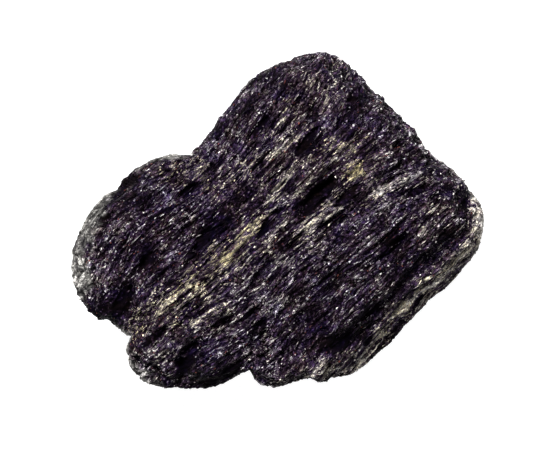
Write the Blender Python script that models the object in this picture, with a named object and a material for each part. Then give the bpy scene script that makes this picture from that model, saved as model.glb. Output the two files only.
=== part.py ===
"""Hornblende specimen: one loose, water-worn lump of fibrous black amphibole.

The stone lies on its flattest side. +X is its long direction, +Y its other
broad direction and +Z points up out of the broad, fluted face. The origin is
under the middle of the stone, on the ground.
"""
import math

import bmesh
import bpy
import numpy as np

NAME = "hornblende_stone"
MM = 0.001

# Overall form, millimetres. Heights are measured from the middle of the flank.
TOP_RISE = 13.8
UNDER_DROP = 14.0
BASE_CUT = 12.0          # depth of the flat resting facet
TOP_POWER = 4.6          # squareness of the turn from broad face to flank
UNDER_POWER = 2.8
FIBRE_DEG = 45.0         # direction in which the fibres lie, from +X
TRIANGLES = 10200
SPHERE_DETAIL = 7

# Plan outline at the widest level, clockwise from the top of the upper lobe.
OUTLINE = [
    (7.8, 30.7), (10.7, 29.9), (14.0, 27.5), (16.9, 24.2), (19.9, 21.5), (22.6, 18.6),
    (25.2, 16.4), (27.0, 13.1), (29.2, 11.3), (31.8, 9.4), (33.8, 7.0), (36.0, 4.5),
    (37.2, 2.3), (37.6, -0.1), (37.2, -2.8), (36.7, -5.2), (34.9, -7.8), (32.5, -10.7),
    (30.8, -12.4), (27.7, -14.7), (26.1, -16.6), (23.3, -19.3), (21.0, -22.2),
    (18.4, -24.4), (15.8, -26.8), (13.3, -28.3), (10.0, -28.7), (8.9, -29.4),
    (7.4, -29.4), (5.9, -28.6), (3.0, -29.4), (-0.6, -30.5), (-3.0, -29.9),
    (-4.1, -29.0), (-5.0, -27.2), (-6.7, -27.9), (-9.4, -29.6), (-12.5, -30.5),
    (-15.5, -30.5), (-18.6, -30.7), (-21.0, -30.5), (-23.7, -29.7), (-26.0, -28.1),
    (-27.2, -25.7), (-27.7, -23.3), (-27.0, -21.3), (-29.4, -19.7), (-30.8, -18.2),
    (-32.5, -18.4), (-34.1, -16.9), (-35.8, -14.7), (-36.9, -12.0), (-37.4, -9.1),
    (-37.4, -5.9), (-36.0, -2.1), (-34.7, 0.6), (-31.4, 4.8), (-29.4, 5.6),
    (-27.4, 8.0), (-24.2, 10.4), (-21.7, 11.3), (-19.1, 12.0), (-16.0, 12.0),
    (-14.0, 13.8), (-11.8, 16.6), (-11.3, 17.8), (-8.3, 21.3), (-6.7, 23.9),
    (-3.9, 26.3), (0.5, 28.5), (2.5, 29.0), (3.0, 29.7), (6.3, 30.5),
]

# How far the broad face is set in from the widest level: (bearing deg, mm).
SET_IN = [
    (0, 2.0), (25, 1.0), (50, 0.8), (75, 1.2), (110, 1.2), (135, 1.6), (160, 1.6),
    (190, 1.8), (215, 1.2), (250, 1.4), (275, 1.8), (300, 3.6), (320, 4.6), (340, 4.2),
]

# Height of the widest level above the middle of the flank: (bearing deg, mm).
WIDEST = [
    (5, 1.5), (40, -2.5), (80, 1.0), (120, 2.5), (150, -1.5), (185, -2.5), (215, 2.0),
    (245, 0.5), (275, 3.0), (310, -3.0), (340, -1.0),
]

# Old fracture planes that flatten the lump: (bearing deg, elevation deg, depth mm).
FRACTURES = [
    (312, 34, 2.6), (20, 42, 1.0), (60, 30, 0.8), (128, 32, 1.0), (186, 44, 1.6),
    (248, 42, 1.8), (40, -28, 3.4), (95, -36, 3.2), (140, -30, 4.2), (182, -38, 3.4),
    (225, -30, 3.4), (278, -34, 3.6), (322, -40, 3.8), (355, -28, 2.6),
    (80, 82, 0.8), (300, 78, 1.0),
]

# Broad swells and valleys of the upper face: (x, y, reach along, reach across,
# direction deg, height).
SWELLS = [
    (-14.5, 7.5, 12.0, 3.6, -48, -1.6),    # valley from the bend between the lobes
    (-25.0, -19.0, 9.0, 2.6, 42, -2.0),    # valley from the lower left notch
    (-4.5, -24.5, 7.0, 2.4, 60, -1.5),     # valley from the bottom notch
    (-24.0, -2.0, 12.0, 8.0, 45, 0.6),     # back of the left lobe
    (-13.0, -11.0, 16.0, 4.0, 43, 0.9),    # diagonal rise through the middle
    (6.0, 12.0, 14.0, 9.0, 45, 0.8),       # back of the upper lobe
    (14.0, -19.0, 16.0, 8.0, 42, -2.2),    # fall to the lower right
    (24.0, 4.0, 9.0, 5.0, 30, 0.7),        # shoulder of the right end
]

# Lens-shaped cleavage hollows: (x, y, half length, half width, direction, depth).
HOLLOWS = [
    (-27.6, -14.8, 4.0, 1.7, 62, 2.3), (-23.0, -7.2, 2.2, 1.1, 35, 1.1),
    (-10.2, 1.0, 2.4, 1.1, 50, 1.3), (-12.8, -3.3, 3.2, 1.1, 50, 1.4),
    (-1.6, -0.6, 3.4, 0.9, 56, 1.1), (7.3, 4.0, 4.5, 1.7, 47, 2.2),
    (13.0, 4.4, 3.4, 1.2, 38, 1.6), (5.3, 13.8, 3.9, 0.9, 52, 1.4),
    (25.2, 5.2, 2.8, 0.9, 25, 1.2), (20.4, -4.8, 3.6, 1.1, 40, 1.2),
    (10.5, -22.2, 3.6, 1.9, 30, 1.1), (16.6, -22.2, 1.7, 1.1, 45, 1.0),
    (16.6, -16.2, 2.6, 0.9, 38, 0.9), (-16.4, -25.1, 4.2, 1.7, 60, 2.2),
    (-22.1, -21.0, 3.6, 0.8, 40, 1.0), (-9.6, -18.2, 2.6, 0.8, 28, 1.2),
    (-3.2, 16.4, 3.2, 0.9, 50, 1.2), (-10.2, 16.4, 2.2, 0.8, 62, 1.0),
    (-16.0, 5.0, 2.6, 0.8, 40, 1.0), (13.6, 22.4, 2.2, 0.8, 55, 0.9),
    (-9.6, -27.6, 4.2, 1.3, 24, 1.3), (4.2, -9.8, 2.2, 0.8, 50, 0.8),
    (33.8, 3.2, 1.6, 1.0, 60, 0.8), (-31.6, -16.2, 1.6, 0.9, 50, 0.9),
]

# Raised crests of fibre bundles: (x, y, half length, half width, direction, height).
CRESTS = [
    (-11.9, -5.2, 5.2, 0.6, 42, 0.9), (9.6, 1.2, 4.6, 0.8, 40, 0.9),
    (-0.4, 6.2, 3.4, 0.7, 50, 0.9), (-18.4, -14.4, 6.0, 0.8, 42, 0.8),
    (-11.6, -16.8, 3.0, 0.8, 12, 1.0), (-18.0, -24.0, 4.2, 0.6, 57, 0.9),
    (22.0, 6.8, 4.2, 0.8, 28, 0.8), (-6.6, -4.0, 4.6, 0.7, 45, 0.7),
    (1.4, 13.6, 3.2, 0.7, 50, 0.7), (13.2, 9.2, 1.5, 1.1, 30, 0.9),
    (27.0, -1.5, 3.4, 0.7, 45, 0.6), (7.6, 8.4, 4.0, 0.7, 42, 0.7),
    (-22.6, -10.8, 3.0, 0.7, 45, 0.7), (18.8, 2.2, 3.2, 0.7, 38, 0.6),
]


def smooth_noise(points, seed):
    """Gradient-free lattice noise from -1 to 1 at points given in lattice steps."""
    size = 32
    lattice = np.random.default_rng(seed).uniform(-1.0, 1.0, (size, size, size))
    base = np.floor(points).astype(int)
    part = points - base
    part = part * part * (3.0 - 2.0 * part)
    total = np.zeros(len(points))
    for corner in range(8):
        step = np.array([corner >> 2 & 1, corner >> 1 & 1, corner & 1])
        at = (base + step) % size
        weight = np.prod(np.where(step, part, 1.0 - part), axis=1)
        total += weight * lattice[at[:, 0], at[:, 1], at[:, 2]]
    return total


def fibre_frame(points, degrees=FIBRE_DEG):
    """Coordinates along the fibres, across them and up."""
    turn = math.radians(degrees)
    along = points[:, 0] * math.cos(turn) + points[:, 1] * math.sin(turn)
    across = points[:, 1] * math.cos(turn) - points[:, 0] * math.sin(turn)
    return np.column_stack([along, across, points[:, 2]])


def flutes(points, length, width, seed):
    """Ridged relief drawn out along the fibres, 0 in the grooves to 1 on the crests."""
    frame = fibre_frame(points)
    sway = smooth_noise(points / 15.0 + 7.3, seed + 50)
    frame[:, 1] += 1.8 * sway
    grain = smooth_noise(frame / np.array([length, width, width]) + 3.1, seed)
    return 1.0 - np.abs(grain) ** 0.7


def in_ellipse(x, y, feature):
    """Distance from the middle of a feature, 1 on its edge, and the signed offset across."""
    cx, cy, half_length, half_width, degrees = feature[:5]
    turn = math.radians(degrees)
    along = ((x - cx) * math.cos(turn) + (y - cy) * math.sin(turn)) / half_length
    across = ((y - cy) * math.cos(turn) - (x - cx) * math.sin(turn)) / half_width
    return np.hypot(along, across), across


def by_bearing(table, bearing):
    """A value read round the stone from (bearing deg, value) pairs."""
    degrees = [row[0] for row in table]
    values = [row[1] for row in table]
    return np.interp(np.degrees(bearing) % 360.0, degrees, values, period=360.0)


def outline_radius(bearing, spread):
    """Radius of the plan outline, averaged over a spread of bearings in degrees."""
    corners = np.array(OUTLINE)
    angles = np.degrees(np.arctan2(corners[:, 1], corners[:, 0])) % 360.0
    order = np.argsort(angles)
    fine = np.arange(0.0, 360.0, 0.25)
    radii = np.interp(fine, angles[order], np.hypot(*corners.T)[order], period=360.0)
    if spread:
        half = int(spread / 0.25)
        radii = np.mean([np.roll(radii, k) for k in range(-half, half + 1)], axis=0)
    return np.interp(np.degrees(bearing) % 360.0, fine, radii, period=360.0)


def blank(unit):
    """The lump before carving, and its outward direction, from unit sphere points."""
    bearing = np.arctan2(unit[:, 1], unit[:, 0])
    level = np.hypot(unit[:, 0], unit[:, 1])
    rise = unit[:, 2]
    power = np.where(rise > 0, TOP_POWER, UNDER_POWER)
    scale = (level ** power + np.abs(rise) ** power) ** (-1.0 / power)
    level, height = level * scale, rise * scale

    sharp = outline_radius(bearing, 0)
    soft = np.minimum(outline_radius(bearing + 0.04 * height, 7), sharp + 0.4)
    off_level = np.clip(np.abs(height) * 2.2 - 0.15, 0.0, 1.0)
    radius = sharp + (soft - sharp) * off_level
    radius -= by_bearing(SET_IN, bearing) * np.clip(height, 0.0, 1.0) ** 1.5
    radius -= 3.4 * np.clip(-height, 0.0, 1.0) ** 1.6

    x, y = radius * level * np.cos(bearing), radius * level * np.sin(bearing)
    z = height * np.where(rise > 0, TOP_RISE, UNDER_DROP)
    z += by_bearing(WIDEST, bearing) * level * (1.0 - np.abs(height))
    outward = np.column_stack([
        level ** (power - 1) * np.cos(bearing) / 32.0,
        level ** (power - 1) * np.sin(bearing) / 32.0,
        np.sign(rise) * np.abs(height) ** (power - 1) / TOP_RISE])
    outward /= np.linalg.norm(outward, axis=1)[:, None]
    return np.column_stack([x, y, z]), outward


def flatten(points):
    """Press the lump back to each old fracture plane."""
    for degrees, elevation, depth in FRACTURES:
        turn, tip = math.radians(degrees), math.radians(elevation)
        normal = np.array([
            math.cos(turn) * math.cos(tip), math.sin(turn) * math.cos(tip), math.sin(tip)])
        reach = points @ normal
        excess = np.clip(reach - (reach.max() - depth), 0.0, None)
        points = points - 0.9 * excess[:, None] * normal
    return points


def face_relief(points):
    """Height added to the broad upper face: swells, hollows and crests."""
    x, y = points[:, 0], points[:, 1]
    height = np.zeros(len(points))
    for swell in SWELLS:
        distance, _ = in_ellipse(x, y, swell)
        height += swell[5] * np.exp(-distance ** 2)
    for crest in CRESTS:
        distance, _ = in_ellipse(x, y, crest)
        height += crest[5] * np.clip(1.3 - distance, 0.0, 1.0) ** 1.3
    for hollow in HOLLOWS:
        distance, across = in_ellipse(x, y, hollow)
        edge = np.clip((1.25 - distance) * 1.7, 0.0, 1.0)
        height -= hollow[5] * edge * (0.74 - 0.26 * np.clip(across, -1.0, 1.0))
    return height


def carve(points, outward):
    """Push the lump in and out: lumps, flutes and ledges all round, features on top."""
    lumps = smooth_noise(points / 12.0 + 5.7, 11)
    knobs = smooth_noise(points / 5.5 + 2.9, 12)
    coarse = flutes(points, 17.0, 4.0, 21)
    fine = flutes(points, 9.0, 2.2, 22)
    ledges = np.round(smooth_noise(fibre_frame(points) / [16.0, 6.0, 6.0], 31) * 2.5) / 2.5
    upward = np.clip(outward[:, 2], 0.0, 1.0)
    rim = np.exp(-(points[:, 2] / 4.5) ** 2) * (1.0 - np.abs(outward[:, 2]))

    push = 1.1 * lumps * (1.0 - 0.5 * upward) + 0.55 * knobs
    push += 1.5 * coarse + 0.5 * fine - 1.3 + 0.6 * ledges
    push *= 1.0 - 0.6 * rim
    moved = points + outward * push[:, None]
    moved[:, 2] += face_relief(points) * upward ** 1.5
    return moved


def true_up(points):
    """Draw the flanks in or out until the widest reach at each bearing is the outline's."""
    bearing = np.degrees(np.arctan2(points[:, 1], points[:, 0])) % 360.0
    radius = np.hypot(points[:, 0], points[:, 1])
    reach = np.zeros(360)
    np.maximum.at(reach, bearing.astype(int), radius)
    middles = np.arange(360) + 0.5
    reach = np.interp(bearing, middles, reach, period=360.0)
    change = outline_radius(np.radians(bearing), 0) / reach - 1.0
    points[:, :2] *= 1.0 + (change * (radius / reach) ** 3)[:, None]
    return points


def shape_stone(mesh):
    """Carve a fine sphere into the stone and write it to the mesh."""
    work = bmesh.new()
    bmesh.ops.create_icosphere(work, subdivisions=SPHERE_DETAIL, radius=1.0)
    unit = np.array([vert.co[:] for vert in work.verts])
    points, outward = blank(unit)
    points = true_up(carve(flatten(points), outward))
    for vert, point in zip(work.verts, points * MM):
        vert.co = point
    work.to_mesh(mesh)
    work.free()


def thin_out(stone):
    """Collapse the fine mesh to the wanted number of triangles."""
    modifier = stone.modifiers.new("thin", "DECIMATE")
    modifier.ratio = TRIANGLES / len(stone.data.polygons)
    modifier.use_collapse_triangulate = True
    graph = bpy.context.evaluated_depsgraph_get()
    thinned = bpy.data.meshes.new_from_object(stone.evaluated_get(graph))
    stone.modifiers.clear()
    stone.data = thinned


def cut_base(mesh):
    """Slice the flat resting facet and stand the stone on the ground over the origin."""
    work = bmesh.new()
    work.from_mesh(mesh)
    everything = work.verts[:] + work.edges[:] + work.faces[:]
    cut = bmesh.ops.bisect_plane(
        work, geom=everything, dist=1e-6, plane_co=(0, 0, -BASE_CUT * MM),
        plane_no=(0, 0, -1), clear_outer=True)
    rim = [item for item in cut["geom_cut"] if isinstance(item, bmesh.types.BMEdge)]
    bmesh.ops.edgenet_fill(work, edges=rim)
    bmesh.ops.triangulate(work, faces=[f for f in work.faces if len(f.verts) > 3])
    bmesh.ops.recalc_face_normals(work, faces=work.faces)
    corners = np.array([vert.co[:] for vert in work.verts])
    low, high = corners.min(axis=0), corners.max(axis=0)
    shift = (-(low[0] + high[0]) / 2, -(low[1] + high[1]) / 2, -low[2])
    bmesh.ops.translate(work, verts=work.verts, vec=shift)
    work.to_mesh(mesh)
    work.free()


def stone_material():
    material = bpy.data.materials.new("hornblende")
    material.use_nodes = True
    shader = material.node_tree.nodes["Principled BSDF"]
    shader.inputs["Base Color"].default_value = (0.028, 0.022, 0.030, 1.0)
    shader.inputs["Roughness"].default_value = 0.45
    shader.inputs["Metallic"].default_value = 0.0
    return material


def build():
    for item in list(bpy.data.objects):
        bpy.data.objects.remove(item, do_unlink=True)
    parts = bpy.data.collections.new("hornblende")
    bpy.context.scene.collection.children.link(parts)
    stone = bpy.data.objects.new(NAME, bpy.data.meshes.new(NAME))
    parts.objects.link(stone)
    shape_stone(stone.data)
    thin_out(stone)
    cut_base(stone.data)
    stone.data.name = NAME
    stone.data.materials.append(stone_material())


build()
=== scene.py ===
import math

import bmesh
import bpy
import numpy as np
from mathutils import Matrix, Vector


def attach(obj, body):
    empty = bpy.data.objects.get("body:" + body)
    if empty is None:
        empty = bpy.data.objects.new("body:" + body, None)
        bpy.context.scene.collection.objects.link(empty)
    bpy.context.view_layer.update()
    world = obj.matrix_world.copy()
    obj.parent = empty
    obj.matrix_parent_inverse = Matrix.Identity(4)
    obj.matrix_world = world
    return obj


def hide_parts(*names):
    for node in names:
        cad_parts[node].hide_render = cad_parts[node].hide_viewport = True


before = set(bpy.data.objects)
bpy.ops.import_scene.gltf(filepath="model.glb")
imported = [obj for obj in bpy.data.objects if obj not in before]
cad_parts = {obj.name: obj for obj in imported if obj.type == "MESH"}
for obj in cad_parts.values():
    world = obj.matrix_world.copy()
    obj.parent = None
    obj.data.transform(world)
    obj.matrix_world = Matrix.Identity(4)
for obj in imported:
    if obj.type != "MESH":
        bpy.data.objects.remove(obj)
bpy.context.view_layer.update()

MM = 0.001

# ------------------------------------------------- the lump's form, as in the CAD source, in mm
TOP_RISE = 13.8
UNDER_DROP = 14.0
BASE_CUT = 12.0          # depth of the flat resting facet under the middle of the flank
TOP_POWER = 4.6          # squareness of the turn from broad face to flank
UNDER_POWER = 2.8
FIBRE_DEG = 45.0         # main direction of the fibres, from +X

# Plan outline at the widest level, clockwise from the top of the upper lobe.
OUTLINE = [
    (7.8, 30.7), (10.7, 29.9), (14.0, 27.5), (16.9, 24.2), (19.9, 21.5), (22.6, 18.6),
    (25.2, 16.4), (27.0, 13.1), (29.2, 11.3), (31.8, 9.4), (33.8, 7.0), (36.0, 4.5),
    (37.2, 2.3), (37.6, -0.1), (37.2, -2.8), (36.7, -5.2), (34.9, -7.8), (32.5, -10.7),
    (30.8, -12.4), (27.7, -14.7), (26.1, -16.6), (23.3, -19.3), (21.0, -22.2),
    (18.4, -24.4), (15.8, -26.8), (13.3, -28.3), (10.0, -28.7), (8.9, -29.4),
    (7.4, -29.4), (5.9, -28.6), (3.0, -29.4), (-0.6, -30.5), (-3.0, -29.9),
    (-4.1, -29.0), (-5.0, -27.2), (-6.7, -27.9), (-9.4, -29.6), (-12.5, -30.5),
    (-15.5, -30.5), (-18.6, -30.7), (-21.0, -30.5), (-23.7, -29.7), (-26.0, -28.1),
    (-27.2, -25.7), (-27.7, -23.3), (-27.0, -21.3), (-29.4, -19.7), (-30.8, -18.2),
    (-32.5, -18.4), (-34.1, -16.9), (-35.8, -14.7), (-36.9, -12.0), (-37.4, -9.1),
    (-37.4, -5.9), (-36.0, -2.1), (-34.7, 0.6), (-31.4, 4.8), (-29.4, 5.6),
    (-27.4, 8.0), (-24.2, 10.4), (-21.7, 11.3), (-19.1, 12.0), (-16.0, 12.0),
    (-14.0, 13.8), (-11.8, 16.6), (-11.3, 17.8), (-8.3, 21.3), (-6.7, 23.9),
    (-3.9, 26.3), (0.5, 28.5), (2.5, 29.0), (3.0, 29.7), (6.3, 30.5),
]
# How far the broad face is set in from the widest level: (bearing deg, mm).
SET_IN = [
    (0, 2.0), (25, 1.0), (50, 0.8), (75, 1.2), (110, 1.2), (135, 1.6), (160, 1.6),
    (190, 1.8), (215, 1.2), (250, 1.4), (275, 1.8), (300, 3.6), (320, 4.6), (340, 4.2),
]
# Height of the widest level above the middle of the flank: (bearing deg, mm).
WIDEST = [
    (5, 1.5), (40, -2.5), (80, 1.0), (120, 2.5), (150, -1.5), (185, -2.5), (215, 2.0),
    (245, 0.5), (275, 3.0), (310, -3.0), (340, -1.0),
]
# Old fracture planes that flatten the lump: (bearing deg, elevation deg, depth).
FRACTURES = [
    (312, 34, 2.6), (20, 42, 1.0), (60, 30, 0.8), (128, 32, 1.0), (186, 44, 1.6),
    (248, 42, 1.8), (40, -28, 3.4), (95, -36, 3.2), (140, -30, 4.2), (182, -38, 3.4),
    (225, -30, 3.4), (278, -34, 3.6), (322, -40, 3.8), (355, -28, 2.6),
    (80, 82, 0.8), (300, 78, 1.0),
]
# Columns of the lists of features below: height, depth or strength, and how yellow.
AMOUNT = 5
YELLOWNESS = 6

# Swells and valleys of the face: (x, y, reach along, reach across, direction deg, height).
SWELLS = [
    (-14.5, 7.5, 12.0, 3.6, -48, -1.6), (-25.0, -19.0, 9.0, 2.6, 42, -2.0),
    (-4.5, -24.5, 7.0, 2.4, 60, -1.5), (-24.0, -2.0, 12.0, 8.0, 45, 0.6),
    (-13.0, -11.0, 16.0, 4.0, 43, 0.9), (6.0, 12.0, 14.0, 9.0, 45, 0.8),
    (14.0, -19.0, 16.0, 8.0, 42, -2.2), (24.0, 4.0, 9.0, 5.0, 30, 0.7),
]
# Lens-shaped cleavage hollows: (x, y, half length, half width, direction deg, depth).
HOLLOWS = [
    (-27.6, -14.8, 4.0, 1.7, 62, 2.3), (-23.0, -7.2, 2.2, 1.1, 35, 1.1),
    (-10.2, 1.0, 2.4, 1.1, 50, 1.3), (-12.8, -3.3, 3.2, 1.1, 50, 1.4),
    (-1.6, -0.6, 3.4, 0.9, 56, 1.1), (7.3, 4.0, 4.5, 1.7, 47, 2.2),
    (13.0, 4.4, 3.4, 1.2, 38, 1.6), (5.3, 13.8, 3.9, 0.9, 52, 1.4),
    (25.2, 5.2, 2.8, 0.9, 25, 1.2), (20.4, -4.8, 3.6, 1.1, 40, 1.2),
    (10.5, -22.2, 3.6, 1.9, 30, 1.1), (16.6, -22.2, 1.7, 1.1, 45, 1.0),
    (16.6, -16.2, 2.6, 0.9, 38, 0.9), (-16.4, -25.1, 4.2, 1.7, 60, 2.2),
    (-22.1, -21.0, 3.6, 0.8, 40, 1.0), (-9.6, -18.2, 2.6, 0.8, 28, 1.2),
    (-3.2, 16.4, 3.2, 0.9, 50, 1.2), (-10.2, 16.4, 2.2, 0.8, 62, 1.0),
    (-16.0, 5.0, 2.6, 0.8, 40, 1.0), (13.6, 22.4, 2.2, 0.8, 55, 0.9),
    (-9.6, -27.6, 4.2, 1.3, 24, 1.3), (4.2, -9.8, 2.2, 0.8, 50, 0.8),
    (33.8, 3.2, 1.6, 1.0, 60, 0.8), (-31.6, -16.2, 1.6, 0.9, 50, 0.9),
]
# Raised crests of fibre bundles: (x, y, half length, half width, direction deg, height).
CRESTS = [
    (-11.9, -5.2, 5.2, 0.6, 42, 0.9), (9.6, 1.2, 4.6, 0.8, 40, 0.9),
    (-0.4, 6.2, 3.4, 0.7, 50, 0.9), (-18.4, -14.4, 6.0, 0.8, 42, 0.8),
    (-11.6, -16.8, 3.0, 0.8, 12, 1.0), (-18.0, -24.0, 4.2, 0.6, 57, 0.9),
    (22.0, 6.8, 4.2, 0.8, 28, 0.8), (-6.6, -4.0, 4.6, 0.7, 45, 0.7),
    (1.4, 13.6, 3.2, 0.7, 50, 0.7), (13.2, 9.2, 1.5, 1.1, 30, 0.9),
    (27.0, -1.5, 3.4, 0.7, 45, 0.6), (7.6, 8.4, 4.0, 0.7, 42, 0.7),
    (-22.6, -10.8, 3.0, 0.7, 45, 0.7), (18.8, 2.2, 3.2, 0.7, 38, 0.6),
]

# ------------------------------------------------- detail that only the scene carries
SPHERE_DETAIL = 8
FACE_TRIANGLES = 192000

# Fields drawn out along the fibres: (length mm, width mm, seed).
BUNDLES = (7.0, 1.5, 41)
THREADS = (5.0, 0.65, 42)
STRANDS = (7.0, 0.40, 63)
BAND_WIDE = (16.0, 3.2, 61)
BAND_THIN = (9.0, 1.6, 62)
FRAY = (10.0, 0.35, 64)
FRAY_LENGTH = 2.0        # how far light and dark zones are drawn out along a thread, mm
FLUTE_MEAN = 0.6         # mean and spread of a field of flutes
FLUTE_SPREAD = 0.18
FLOW_REACH = 5.0         # reach of each direction in FLOW, mm
FLOW_LAYS = (34.0, 42.0, 50.0, 58.0)    # directions that combed fields are blended from
FLOW_STEP = 8.0

# Direction of the fibres over the broad face: (x, y, degrees from +X). Rounded from the direction of
# the photo's texture, which was measured on a 30-pixel grid.
FLOW = [
    (-35, -2, 57), (-34, -12, 62), (-28, -14, 54), (-24, 4, 42), (-18, 8, 44), (-20, -6, 44),
    (-13, 0, 40), (-12, -10, 44), (-24, -18, 42), (-16, -26, 55), (-8, -26, 34), (-10, -18, 34),
    (-4, 20, 59), (-2, 10, 50), (4, 24, 54), (4, 14, 50), (8, 4, 46), (12, 22, 54), (16, 26, 56),
    (12, 8, 36), (18, 8, 34), (24, 6, 32), (30, 4, 38), (20, 0, 40), (14, -4, 40), (6, -6, 42),
    (0, -10, 44), (-2, -18, 44), (6, -18, 48), (14, -16, 46), (22, -12, 48), (28, -8, 48),
    (34, -2, 46), (10, -24, 42), (20, -20, 56), (2, -26, 46), (-6, 0, 47),
]


def smooth_noise(points, seed):
    """Value noise from -1 to 1, one cell to the unit, repeating every 32 cells."""
    size = 32
    lattice = np.random.default_rng(seed).uniform(-1.0, 1.0, (size, size, size))
    base = np.floor(points).astype(int)
    part = points - base
    part = part * part * (3.0 - 2.0 * part)
    total = np.zeros(len(points))
    for corner in range(8):
        step = np.array([corner >> 2 & 1, corner >> 1 & 1, corner & 1])
        at = (base + step) % size
        weight = np.prod(np.where(step, part, 1.0 - part), axis=1)
        total += weight * lattice[at[:, 0], at[:, 1], at[:, 2]]
    return total


def fibre_frame(points, degrees=FIBRE_DEG):
    """Places measured along the fibres, across them and upwards."""
    turn = math.radians(degrees)
    along = points[:, 0] * math.cos(turn) + points[:, 1] * math.sin(turn)
    across = points[:, 1] * math.cos(turn) - points[:, 0] * math.sin(turn)
    return np.column_stack([along, across, points[:, 2]])


def fibre_noise(points, length, width, seed, degrees):
    """Noise drawn out along the fibres, which sway a little from side to side."""
    place = fibre_frame(points, degrees)
    sway = smooth_noise(points / 15.0 + 7.3, seed + 50)
    place[:, 1] += 1.8 * sway
    return smooth_noise(place / np.array([length, width, width]) + 3.1, seed)


def flutes(points, length, width, seed, degrees=FIBRE_DEG):
    """1 on sharp ridges along the fibres, less in the grooves between them."""
    return 1.0 - np.abs(fibre_noise(points, length, width, seed, degrees)) ** 0.7


def in_ellipse(x, y, feature):
    """Distance from a feature's middle, 1 on its ellipse, and the part of it across."""
    cx, cy, half_length, half_width, degrees = feature[:5]
    turn = math.radians(degrees)
    along = ((x - cx) * math.cos(turn) + (y - cy) * math.sin(turn)) / half_length
    across = ((y - cy) * math.cos(turn) - (x - cx) * math.sin(turn)) / half_width
    return np.hypot(along, across), across


def by_bearing(table, bearing):
    """Value of a table of (bearing deg, value), carried round the stone. bearing in radians."""
    degrees = [row[0] for row in table]
    values = [row[1] for row in table]
    return np.interp(np.degrees(bearing) % 360.0, degrees, values, period=360.0)


def outline_radius(bearing, spread):
    """Radius of OUTLINE at a bearing in radians, averaged over spread degrees either side."""
    corners = np.array(OUTLINE)
    angles = np.degrees(np.arctan2(corners[:, 1], corners[:, 0])) % 360.0
    order = np.argsort(angles)
    fine = np.arange(0.0, 360.0, 0.25)
    radii = np.interp(fine, angles[order], np.hypot(*corners.T)[order], period=360.0)
    if spread:
        half = int(spread / 0.25)
        radii = np.mean([np.roll(radii, k) for k in range(-half, half + 1)], axis=0)
    return np.interp(np.degrees(bearing) % 360.0, fine, radii, period=360.0)


def blank(unit):
    """The uncarved lump: points and outward directions for points of a unit sphere."""
    bearing = np.arctan2(unit[:, 1], unit[:, 0])
    level = np.hypot(unit[:, 0], unit[:, 1])
    rise = unit[:, 2]
    power = np.where(rise > 0, TOP_POWER, UNDER_POWER)
    scale = (level ** power + np.abs(rise) ** power) ** (-1.0 / power)
    level, height = level * scale, rise * scale

    sharp = outline_radius(bearing, 0)
    soft = np.minimum(outline_radius(bearing + 0.04 * height, 7), sharp + 0.4)
    off_level = np.clip(np.abs(height) * 2.2 - 0.15, 0.0, 1.0)
    radius = sharp + (soft - sharp) * off_level
    radius -= by_bearing(SET_IN, bearing) * np.clip(height, 0.0, 1.0) ** 1.5
    radius -= 3.4 * np.clip(-height, 0.0, 1.0) ** 1.6

    x, y = radius * level * np.cos(bearing), radius * level * np.sin(bearing)
    z = height * np.where(rise > 0, TOP_RISE, UNDER_DROP)
    z += by_bearing(WIDEST, bearing) * level * (1.0 - np.abs(height))
    outward = np.column_stack([
        level ** (power - 1) * np.cos(bearing) / 32.0,
        level ** (power - 1) * np.sin(bearing) / 32.0,
        np.sign(rise) * np.abs(height) ** (power - 1) / TOP_RISE])
    outward /= np.linalg.norm(outward, axis=1)[:, None]
    return np.column_stack([x, y, z]), outward


def flatten(points):
    """Press the points outside each fracture plane most of the way back to it."""
    for degrees, elevation, depth in FRACTURES:
        turn, tip = math.radians(degrees), math.radians(elevation)
        normal = np.array([
            math.cos(turn) * math.cos(tip), math.sin(turn) * math.cos(tip), math.sin(tip)])
        reach = points @ normal
        excess = np.clip(reach - (reach.max() - depth), 0.0, None)
        points = points - 0.9 * excess[:, None] * normal
    return points


def hollow_mask(x, y, grow=1.0):
    """1 on the smooth floor of a cleavage hollow, 0 away from it."""
    inside = np.zeros(len(x))
    for hollow in HOLLOWS:
        distance, _ = in_ellipse(x, y, hollow)
        inside = np.maximum(inside, np.clip((grow - distance) * 4.0, 0.0, 1.0))
    return inside


def face_relief(points):
    """Height that swells, crests and hollows add to the broad face."""
    x, y = points[:, 0], points[:, 1]
    height = np.zeros(len(points))
    for swell in SWELLS:
        distance, _ = in_ellipse(x, y, swell)
        height += swell[AMOUNT] * np.exp(-distance ** 2)
    for crest in CRESTS:
        distance, _ = in_ellipse(x, y, crest)
        height += crest[AMOUNT] * np.clip(1.3 - distance, 0.0, 1.0) ** 1.3
    for hollow in HOLLOWS:
        distance, across = in_ellipse(x, y, hollow)
        edge = np.clip((1.15 - distance) * 2.6, 0.0, 1.0)
        height -= hollow[AMOUNT] * edge * (0.76 - 0.24 * np.clip(across, -1.0, 1.0))
    return height


def flow_degrees(x, y):
    """Fibre direction at a place on the face, smoothed between the named directions."""
    total, weights = np.zeros(len(x)), np.zeros(len(x))
    for fx, fy, degrees in FLOW:
        weight = np.exp(-((x - fx) ** 2 + (y - fy) ** 2) / (2 * FLOW_REACH ** 2)) + 1e-9
        total += weight * degrees
        weights += weight
    return total / weights


def waver(points):
    """Bend the ground a little so that threads braid instead of running in rows."""
    bends = [smooth_noise(points / 6.0 + 2.2, seed) for seed in (91, 92, 93)]
    return points + 0.30 * np.column_stack(bends)


def combed(field, points, length, width, seed):
    """A field of flutes or noise whose grain follows the fibre direction from place to place."""
    degrees = flow_degrees(points[:, 0], points[:, 1])
    bent = waver(points)
    total, weights = np.zeros(len(points)), np.zeros(len(points))
    for lay in FLOW_LAYS:
        weight = np.clip(1.0 - np.abs(degrees - lay) / FLOW_STEP, 0.0, 1.0) + 1e-6
        total += weight * field(bent, length, width, seed, lay)
        weights += weight
    return total / weights


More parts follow.
